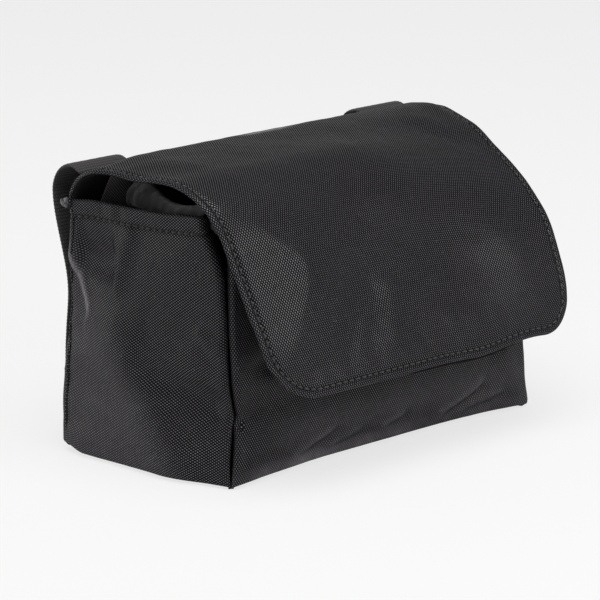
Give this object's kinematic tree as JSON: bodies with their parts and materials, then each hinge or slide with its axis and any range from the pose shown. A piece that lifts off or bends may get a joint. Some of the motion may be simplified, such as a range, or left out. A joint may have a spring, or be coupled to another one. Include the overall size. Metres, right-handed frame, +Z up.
{
  "type": "molle pouch",
  "caption": "Soft box-shaped nylon pouch with an open top, a fold-over flap and three webbing straps with snaps on its back for a carrier vest or belt.",
  "frame": {"origin": "middle of the underside of the bottom panel", "axes": "+Z up, the front with the flap faces -Y, the straps are on +Y, +X is to the right seen from the front"},
  "size_m": [0.1898, 0.1202, 0.1149],
  "materials": {
    "shell_nylon": "matt coated nylon twill, black",
    "lining_nylon": "thin plain nylon lining, black",
    "webbing": "ribbed nylon webbing, black",
    "hook_tape": "hook tape, black",
    "loop_tape": "brushed loop tape, black",
    "snap_metal": "black-coated brass"
  },
  "bodies": {
    "pouch": {"back_panel": "shell_nylon", "front_panel": "shell_nylon", "left_side_panel": "shell_nylon", "right_side_panel": "shell_nylon", "bottom_panel": "shell_nylon", "back_lining": "lining_nylon", "front_lining": "lining_nylon", "left_side_lining": "lining_nylon", "right_side_lining": "lining_nylon", "bottom_lining": "lining_nylon", "loop_strip": "loop_tape", "lower_webbing_row": "webbing", "upper_webbing_row": "webbing", "snap_stud_left": "snap_metal", "snap_stud_middle": "snap_metal", "snap_stud_right": "snap_metal", "snap_post_left": "snap_metal", "snap_post_middle": "snap_metal", "snap_post_right": "snap_metal"},
    "flap_top": {"flap_top_shell": "shell_nylon", "flap_top_lining": "lining_nylon"},
    "flap_front": {"flap_front_shell": "shell_nylon", "flap_front_lining": "lining_nylon", "hook_strip": "hook_tape"},
    "strap_left": {"strap_left": "webbing", "snap_cap_left": "snap_metal", "snap_socket_left": "snap_metal"},
    "strap_middle": {"strap_middle": "webbing", "snap_cap_middle": "snap_metal", "snap_socket_middle": "snap_metal"},
    "strap_right": {"strap_right": "webbing", "snap_cap_right": "snap_metal", "snap_socket_right": "snap_metal"}
  },
  "joints": [
    {"name": "flap_lift", "type": "hinge", "parent": "pouch", "child": "flap_top", "pos_m": [0, 0.03355, 0.11181], "axis": [-1, 0, 0], "range_deg": [0, 110]},
    {"name": "flap_fold", "type": "hinge", "parent": "flap_top", "child": "flap_front", "pos_m": [0, -0.04005, 0.09425], "axis": [-1, 0, 0], "range_deg": [-20, 65], "stiffness_Nm_per_rad": 0.03, "springref_deg": 2.29},
    {"name": "strap_swing_left", "type": "hinge", "parent": "pouch", "child": "strap_left", "pos_m": [-0.076, 0.03667, 0.11068], "axis": [1, 0, 0], "range_deg": [0, 40]},
    {"name": "strap_swing_middle", "type": "hinge", "parent": "pouch", "child": "strap_middle", "pos_m": [0, 0.03667, 0.11068], "axis": [1, 0, 0], "range_deg": [0, 40]},
    {"name": "strap_swing_right", "type": "hinge", "parent": "pouch", "child": "strap_right", "pos_m": [0.076, 0.03667, 0.11068], "axis": [1, 0, 0], "range_deg": [0, 40]}
  ]
}
